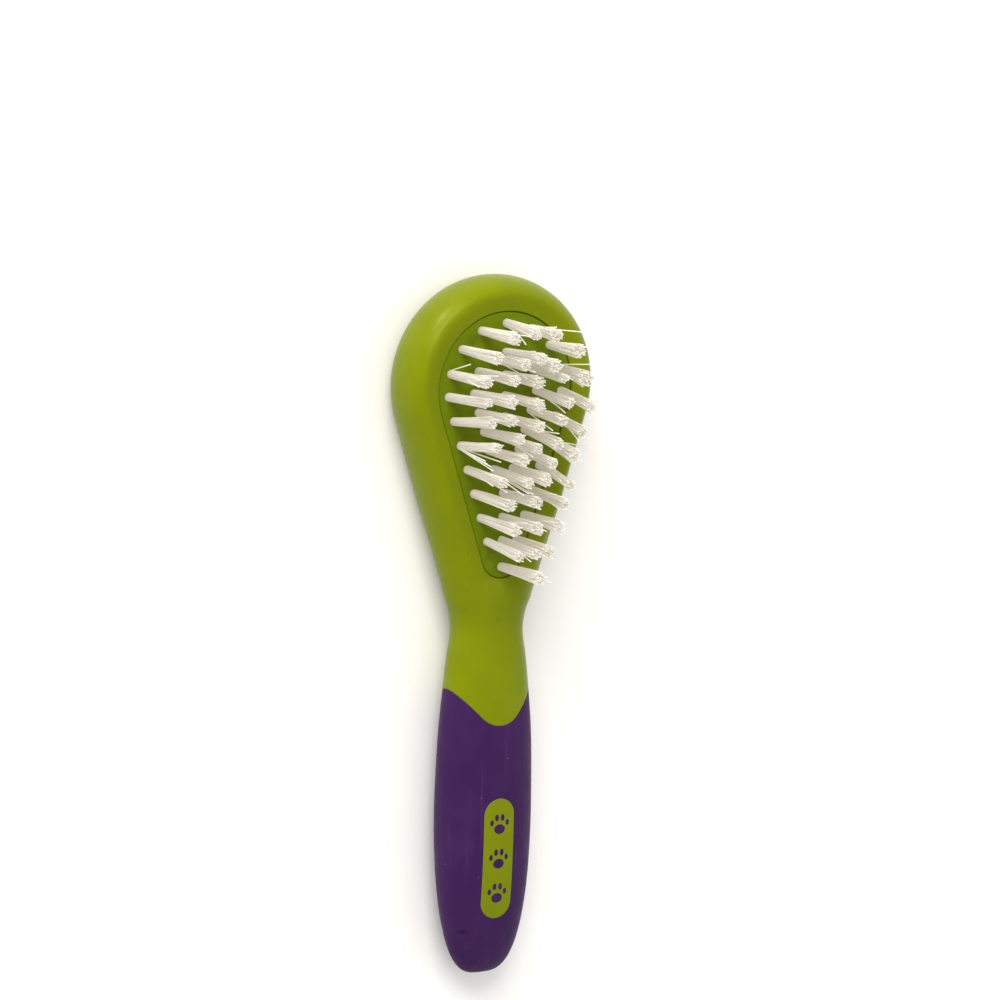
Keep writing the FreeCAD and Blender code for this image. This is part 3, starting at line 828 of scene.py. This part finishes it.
class Nodes:
    """Short ways to build a node material."""

    def __init__(self, name):
        self.material = bpy.data.materials.new(name)
        self.material.use_nodes = True
        self.tree = self.material.node_tree
        self.shader = self.tree.nodes["Principled BSDF"]
        self.place = self.add("ShaderNodeTexCoord").outputs["Object"]

    def add(self, kind, **values):
        node = self.tree.nodes.new(kind)
        for key, value in values.items():
            setattr(node, key, value)
        return node

    def link(self, source, target):
        self.tree.links.new(source, target)

    def noise(self, scale, detail=2.0, stretch=None, roughness=0.5):
        node = self.add("ShaderNodeTexNoise")
        node.inputs["Scale"].default_value = scale
        node.inputs["Detail"].default_value = detail
        node.inputs["Roughness"].default_value = roughness
        place = self.place
        if stretch:
            mapping = self.add("ShaderNodeMapping")
            mapping.inputs["Scale"].default_value = stretch
            self.link(self.place, mapping.inputs["Vector"])
            place = mapping.outputs["Vector"]
        self.link(place, node.inputs["Vector"])
        return node.outputs["Fac"]

    def range(self, source, low, high, to_low, to_high, smooth=False):
        node = self.add("ShaderNodeMapRange")
        if smooth:
            node.interpolation_type = "SMOOTHSTEP"
        limits = {"From Min": low, "From Max": high, "To Min": to_low, "To Max": to_high}
        for key, value in limits.items():
            node.inputs[key].default_value = value
        self.link(source, node.inputs["Value"])
        return node.outputs["Result"]

    def mix(self, factor, a, b):
        node = self.add("ShaderNodeMix", data_type="RGBA")
        self.link(factor, node.inputs["Factor"])
        for value, socket in ((a, node.inputs["A"]), (b, node.inputs["B"])):
            if isinstance(value, tuple):
                socket.default_value = value
            else:
                self.link(value, socket)
        return node.outputs["Result"]

    def math(self, operation, a, b):
        node = self.add("ShaderNodeMath", operation=operation)
        for value, socket in ((a, node.inputs[0]), (b, node.inputs[1])):
            if isinstance(value, (int, float)):
                socket.default_value = value
            else:
                self.link(value, socket)
        return node.outputs[0]

    def specks(self, scale, size):
        """Small spots in one cell out of five, 1 inside a spot and 0 outside."""
        node = self.add("ShaderNodeTexVoronoi")
        node.inputs["Scale"].default_value = scale
        self.link(self.place, node.inputs["Vector"])
        near = self.range(node.outputs["Distance"], size * 0.6, size, 1.0, 0.0, True)
        few = self.add("ShaderNodeSeparateColor")
        self.link(node.outputs["Color"], few.inputs["Color"])
        return self.math("MULTIPLY", near, self.math("GREATER_THAN", few.outputs["Red"], 0.8))

    def spot(self, place, size):
        """1 at a place on the surface (metres), fading to 0 at a ragged edge."""
        shift = self.add("ShaderNodeMapping", vector_type="TEXTURE")
        shift.inputs["Location"].default_value = place
        shift.inputs["Scale"].default_value = size
        self.link(self.place, shift.inputs["Vector"])
        length = self.add("ShaderNodeVectorMath", operation="LENGTH")
        self.link(shift.outputs["Vector"], length.inputs[0])
        wander = self.range(self.noise(2200, 2.0), 0.3, 0.7, -0.35, 0.35)
        ragged = self.math("ADD", length.outputs["Value"], wander)
        return self.range(ragged, 0.35, 1.0, 1.0, 0.0, True)

    def bump(self, *layers):
        """Bump layers, each (height source, strength, distance in metres)."""
        normal = None
        for source, strength, distance in layers:
            node = self.add("ShaderNodeBump")
            node.inputs["Strength"].default_value = strength
            node.inputs["Distance"].default_value = distance
            self.link(source, node.inputs["Height"])
            if normal is not None:
                self.link(normal, node.inputs["Normal"])
            normal = node.outputs["Normal"]
        self.link(normal, self.shader.inputs["Normal"])

    def set(self, **values):
        """Uniform values, straight on the shader's own sockets."""
        for key, value in values.items():
            self.shader.inputs[key.replace("_", " ")].default_value = value


def green_plastic(name, colour, roughness):
    """Moulded satin plastic: mottling, fine scuffs, dark specks, pale nicks and a spark-eroded grain."""
    n = Nodes(name)
    r, g, b = colour
    mottle = n.range(n.noise(160, 3.0), 0.35, 0.7, 0, 1, True)
    base = n.mix(mottle, srgb(r * 0.985, g * 0.985, b), srgb(r * 1.015, g * 1.01, b))
    scuffs = n.range(n.noise(700, 4.0, (1.0, 0.12, 1.0), 0.6), 0.64, 0.74, 0, 1, True)
    base = n.mix(n.math("MULTIPLY", scuffs, 0.4), base, srgb(r * 1.12, g * 1.08, b + 30))
    specks = n.specks(260, 0.09)
    base = n.mix(n.math("MULTIPLY", specks, 0.5), base, srgb(r * 0.8, g * 0.75, 12))
    nicks = n.specks(430, 0.075)
    base = n.mix(n.math("MULTIPLY", nicks, 0.4), base, srgb(r * 1.3, g * 1.25, b + 70))
    n.link(base, n.shader.inputs["Base Color"])
    worn = n.range(n.noise(240, 4.0), 0.3, 0.7, roughness - 0.04, roughness + 0.05)
    rough = n.math("ADD", worn, n.math("MULTIPLY", scuffs, 0.1))
    n.link(rough, n.shader.inputs["Roughness"])
    n.set(Specular_IOR_Level=0.2, Specular_Tint=(1.0, 0.95, 0.4, 1.0))
    n.bump((n.noise(3200, 2.0), 0.3, 0.00002), (n.noise(420, 2.0), 0.12, 0.00004))
    return n.material


def purple_rubber(name):
    """Soft-touch grip rubber: satin, with faint streaks, dust, rubbed patches and one dark smudge."""
    n = Nodes(name)
    cloud = n.range(n.noise(120, 3.0), 0.35, 0.7, 0, 1, True)
    base = n.mix(cloud, srgb(*GRIP_PURPLE), srgb(*GRIP_PURPLE_PALE))
    streaks = n.range(n.noise(900, 3.0, (1.0, 0.06, 1.0)), 0.55, 0.8, 0, 1, True)
    base = n.mix(n.math("MULTIPLY", streaks, 0.2), base, srgb(80, 55, 96))
    dark_mark = n.spot(MARK_PLACE, MARK_SIZE)
    base = n.mix(n.math("MULTIPLY", dark_mark, 0.75), base, srgb(30, 10, 26))
    dust = n.specks(520, 0.1)
    base = n.mix(n.math("MULTIPLY", dust, 0.3), base, srgb(130, 112, 140))
    n.link(base, n.shader.inputs["Base Color"])
    rough = n.range(n.noise(300, 4.0), 0.3, 0.7, 0.44, 0.58)
    n.link(rough, n.shader.inputs["Roughness"])
    n.set(Specular_IOR_Level=0.11, Sheen_Weight=0.015, Sheen_Roughness=0.5)
    n.bump((n.noise(6500, 2.0), 0.25, 0.00002), (dust, 0.3, 0.00003))
    return n.material


def nylon(name):
    """Drawn white nylon: translucent and satin, with a painted glow; painted shade and painted green
    bounce light make it a touch darker and yellower near the roots.
    """
    n = Nodes(name)
    split = n.add("ShaderNodeSeparateXYZ")
    n.link(n.place, split.inputs["Vector"])
    # painted shade: darker and yellower near the pad, fading out higher up the strands
    up = n.range(split.outputs["Z"], PAD_TOP * MM, (PAD_TOP + NYLON_SHADE_FADE) * MM, 0, 1, True)
    base = n.mix(up, srgb(*NYLON_ROOT_SHADED), srgb(*NYLON_TIP))
    base = n.mix(n.math("MULTIPLY", n.noise(1800, 1.0), 0.25), base, srgb(*NYLON_PATCH))
    n.link(base, n.shader.inputs["Base Color"])
    n.link(n.range(n.noise(900, 2.0), 0.3, 0.7, 0.3, 0.42), n.shader.inputs["Roughness"])
    n.set(Specular_IOR_Level=0.25, Subsurface_Weight=0.8)
    n.set(Subsurface_Radius=(0.002, 0.002, 0.0018), Subsurface_Scale=1.0)
    # painted light: a faint glow that stands in for the light that wanders through the bundle
    n.set(Emission_Color=srgb(255, 249, 226), Emission_Strength=0.14)
    n.bump((n.noise(9000, 1.0), 0.1, 0.00001))
    return n.material


def staple_wire(name):
    """Drawn steel wire with lengthwise die marks."""
    n = Nodes(name)
    marks = n.noise(3000, 2.0, (0.1, 1.0, 1.0))
    n.link(n.mix(marks, srgb(150, 150, 146), srgb(196, 196, 190)), n.shader.inputs["Base Color"])
    n.link(n.range(marks, 0.3, 0.7, 0.28, 0.42), n.shader.inputs["Roughness"])
    n.set(Metallic=1.0)
    n.bump((marks, 0.2, 0.00001))
    return n.material


def floor_surface(name):
    """Plain pale matt paint."""
    n = Nodes(name)
    tone = n.noise(6, 2.0)
    n.link(n.mix(tone, (0.86, 0.86, 0.86, 1), (0.89, 0.89, 0.89, 1)), n.shader.inputs["Base Color"])
    n.set(Roughness=0.9, Specular_IOR_Level=0.1)
    return n.material


# ---- stage, light and camera ---------------------------------------------------------------------
CAMERA_YAW = math.radians(31.35)  # turned this far to the brush's left
CAMERA_PITCH = math.radians(8.47)         # and this far towards the head
CAMERA_ROLL = math.radians(1.3)
CAMERA_DISTANCE = 1.2173
CAMERA_LENS = 221.4
SENSOR_WIDTH = 36.0
CAMERA_SHIFT = Vector((2.65, 24.92)) * MM         # the view's middle, right of and above LOOK_AT
LOOK_AT = Vector((0, 0, 6.2)) * MM
FLOOR_HALF = 4.0
FLOOR_DROP = 0.0001       # under the brush, so that the two surfaces don't meet
ROOM_COLOUR = (1.0, 0.98, 0.95, 1)
ROOM_STRENGTH = 0.85


def camera_axes():
    """Right, up and back vectors of the camera."""
    back = Vector((
        -math.sin(CAMERA_YAW) * math.cos(CAMERA_PITCH),
        math.sin(CAMERA_PITCH),
        math.cos(CAMERA_YAW) * math.cos(CAMERA_PITCH),
    ))
    up = (Vector((0, 1, 0)) - back * back.y).normalized()
    right = up.cross(back)
    c, s = math.cos(CAMERA_ROLL), math.sin(CAMERA_ROLL)
    return c * right + s * up, c * up - s * right, back


def make_camera():
    right, up, back = camera_axes()
    data = bpy.data.cameras.new("camera")
    data.lens = CAMERA_LENS
    data.sensor_width = SENSOR_WIDTH
    data.clip_end = 20
    camera = bpy.data.objects.new("camera", data)
    bpy.context.scene.collection.objects.link(camera)
    turn = Matrix((right, up, back)).transposed().to_4x4()
    place = LOOK_AT + right * CAMERA_SHIFT.x + up * CAMERA_SHIFT.y + back * CAMERA_DISTANCE
    camera.matrix_world = Matrix.Translation(place) @ turn
    bpy.context.scene.camera = camera


def area_light(name, towards, distance, size, power, colour):
    """A square soft light, in a direction given along the camera's right, up and back vectors."""
    right, up, back = camera_axes()
    direction = (right * towards[0] + up * towards[1] + back * towards[2]).normalized()
    data = bpy.data.lights.new(name, "AREA")
    data.size = size
    data.energy = power
    data.color = colour
    light = bpy.data.objects.new(name, data)
    bpy.context.scene.collection.objects.link(light)
    turn = direction.to_track_quat("Z", "Y").to_matrix().to_4x4()
    light.matrix_world = Matrix.Translation(LOOK_AT + direction * distance) @ turn


def make_stage():
    """Floor, even room light and three soft lamps."""
    mesh = bpy.data.meshes.new("floor")
    corners = [(x * FLOOR_HALF, y * FLOOR_HALF, 0) for x, y in ((-1, -1), (1, -1), (1, 1), (-1, 1))]
    mesh.from_pydata(corners, [], [(0, 1, 2, 3)])
    mesh.materials.append(floor_surface("floor_paint"))
    floor = bpy.data.objects.new("floor", mesh)
    bpy.context.scene.collection.objects.link(floor)
    floor.location.z = -FLOOR_DROP
    world = bpy.data.worlds.new("soft_room")
    world.use_nodes = True
    background = world.node_tree.nodes["Background"]
    background.inputs["Color"].default_value = ROOM_COLOUR
    background.inputs["Strength"].default_value = ROOM_STRENGTH
    bpy.context.scene.world = world
    area_light("key", (0.05, 0.7, 1.0), distance=1.6, size=0.9, power=19.0, colour=(1.0, 0.97, 0.9))
    area_light("left", (-0.35, 0.9, 0.55), distance=1.5, size=0.25, power=9.0, colour=(1.0, 0.97, 0.92))
    area_light("right", (1.0, 0.3, 0.1), distance=1.2, size=0.5, power=1.2, colour=(1.0, 0.98, 0.95))
    bpy.context.scene.view_settings.view_transform = "Standard"


# ---- putting it together -------------------------------------------------------------------------
# the tufts that stand out from their neighbours: lean at the tip, mm across and along
ODD_LEANS = {
    "tuft_outer_01": (-1.2, -0.7),
    "tuft_outer_02": (-0.4, -0.1),
    "tuft_outer_03": (-2.3, 0.2),
    "tuft_outer_05": (-1.4, 0.4),
    "tuft_outer_06": (0.4, -0.1),
    "tuft_outer_07": (-1.9, -0.5),
    "tuft_outer_08": (1.1, 0.4),
    "tuft_outer_10": (0.8, 1.3),
    "tuft_outer_11": (-1.6, -1.5),
    "tuft_outer_12": (0.5, 1.3),
    "tuft_outer_13": (-1.8, -1.3),
    "tuft_outer_14": (0.4, -0.9),
    "tuft_outer_15": (-0.8, -2.2),
    "tuft_outer_16": (0.5, -0.6),
    "tuft_outer_18": (0.2, -0.7),
    "tuft_outer_19": (0.0, -0.6),
    "tuft_outer_20": (-0.6, -1.2),
    "tuft_outer_22": (0.9, -0.4),
}
# and the ones that are wider or closer: tip width over root width
ODD_SPREADS = {
    "tuft_outer_02": 1.6,
    "tuft_outer_05": 1.85,
    "tuft_outer_07": 2.1,
    "tuft_outer_08": 1.05,
    "tuft_outer_10": 1.15,
    "tuft_outer_12": 1.12,
    "tuft_outer_13": 1.95,
    "tuft_outer_14": 1.12,
    "tuft_outer_15": 1.15,
    "tuft_outer_19": 1.7,
    "tuft_outer_21": 1.7,
    "tuft_outer_22": 1.7,
}
# single strands that leave their tuft: lean at the tip, mm across and along, and share of the full height
LOOSE_STRANDS = {
    "tuft_outer_02": [(2.2, 0.2, 1.0)],
    "tuft_outer_03": [(3.0, 0.5, 1.0)],
    "tuft_outer_06": [(0.3, 1.9, 0.5)],
    "tuft_outer_07": [(0.2, 1.6, 1.0)],
    "tuft_outer_09": [(0.6, -0.4, 1.0)],
    "tuft_outer_10": [(3.6, 1.3, 1.0)],
    "tuft_outer_12": [
        (0.5, -0.8, 1.0),
        (-0.4, -2.4, 1.0),
        (-1.7, -0.8, 1.0),
        (-0.8, -1.6, 1.0),
        (-1.4, -1.2, 1.0),
    ],
    "tuft_outer_13": [(1.4, 0.1, 1.0)],
    "tuft_inner_09": [(-2.4, -1.8, 1.0)],
    "tuft_inner_14": [(-0.9, -2.6, 1.0), (-0.2, -2.2, 1.0), (-1.6, -2.2, 1.0), (0.6, -2.4, 1.0)],
}


def tuft_lean(node, x, y):
    """Lean of a tuft at (x, y) at its tip, mm: a bit to the middle, more to the handle, and unevenly."""
    if node in ODD_LEANS:
        return Vector(ODD_LEANS[node])
    rng = random.Random(f"lean{TUFT_SEED}{node}")
    across = LEAN_ACROSS[0] + LEAN_ACROSS[1] * x
    down = LEAN_DOWN[0] + LEAN_DOWN[1] * x + LEAN_DOWN[2] * (HEAD_Y - y)
    return Vector((across + rng.gauss(0, LEAN_ERROR), -down + rng.gauss(0, LEAN_ERROR)))


def tuft_spread(node):
    """How many times wider a tuft is at its tip than at its root."""
    usual = random.Random(f"spread{TUFT_SEED}{node}").uniform(*USUAL_SPREAD)
    return ODD_SPREADS.get(node, usual)


def main():
    make_stage()
    make_camera()
    green = green_plastic("green_body", BODY_GREEN, 0.32)
    # a darker copy of the green plastic for the pad: painted shade among the tufts
    pad_green_shaded = green_plastic("green_pad_shaded", PAD_GREEN_SHADED, 0.4)
    purple = purple_rubber("purple_grip")
    white = nylon("nylon")
    body_shell(green)
    grip_skin(purple)
    badge_face(green)
    paw_inlay(purple)
    tufts = sorted(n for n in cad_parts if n.startswith("tuft_") and n != "tuft_staples")
    roots = {}
    for node in tufts:
        low, high = box_mm(node)
        roots[node] = ((low.x + high.x) / 2, (low.y + high.y) / 2)
    pad_plate(list(roots.values()), pad_green_shaded)
    for node in tufts:
        tuft_piece(node, tuft_lean(node, *roots[node]), tuft_spread(node), white)
    wire = staple_wire("staple_wire")
    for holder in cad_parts["tuft_staples"].material_slots:
        holder.material = wire


main()
